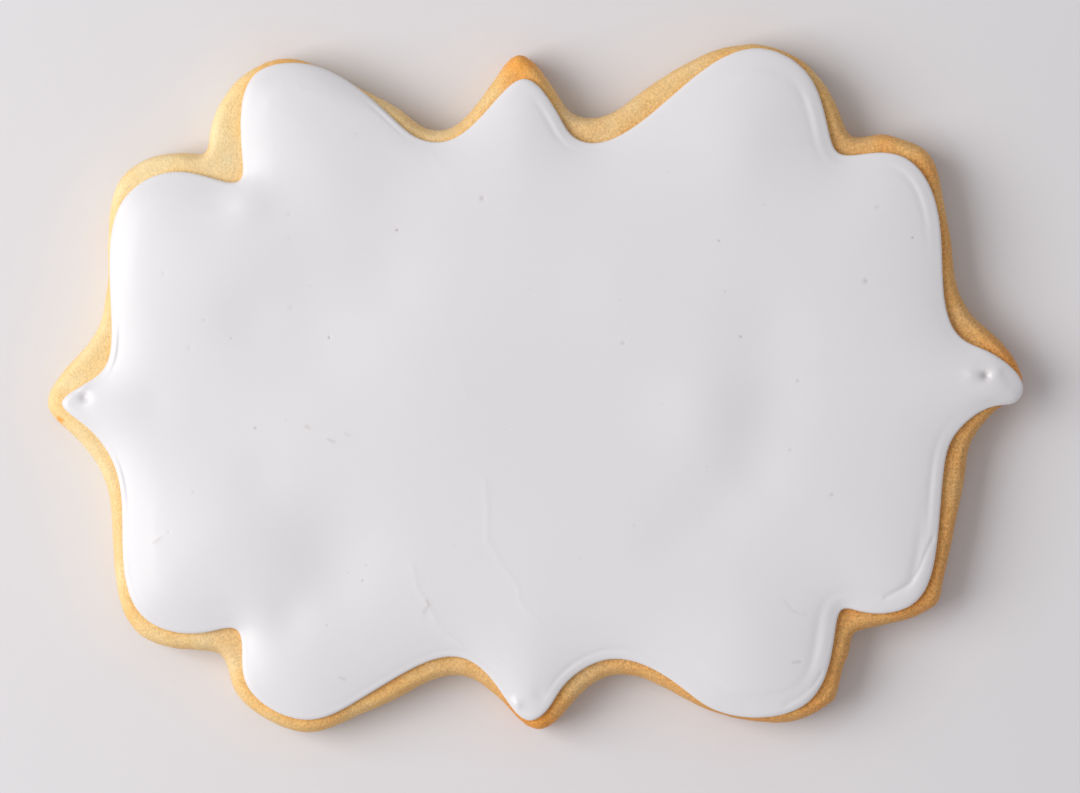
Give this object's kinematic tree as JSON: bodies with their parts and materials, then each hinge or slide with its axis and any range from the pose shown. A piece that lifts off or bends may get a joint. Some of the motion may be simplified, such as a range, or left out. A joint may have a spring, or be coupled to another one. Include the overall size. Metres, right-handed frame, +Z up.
{
  "type": "iced sugar cookie",
  "caption": "Flat plaque-shaped sugar biscuit with pointed tips and round lobes, its top flooded with smooth white icing that leaves a narrow golden rim.",
  "frame": {"origin": "under the middle of the cookie's bounding box, on its flat underside", "axes": "+X along the cookie's length from its left tip to its right tip, +Y towards its top tip, +Z up through the icing"},
  "size_m": [0.118, 0.0834, 0.0092],
  "materials": {
    "biscuit": "baked dough: pale gold with a sandy grain, browner on the tips, corners and underside",
    "icing": "dried white royal icing, smooth with a soft gloss, fine pinholes and hairline creases"
  },
  "bodies": {
    "root": {"biscuit": "biscuit", "icing": "icing"}
  },
  "joints": []
}
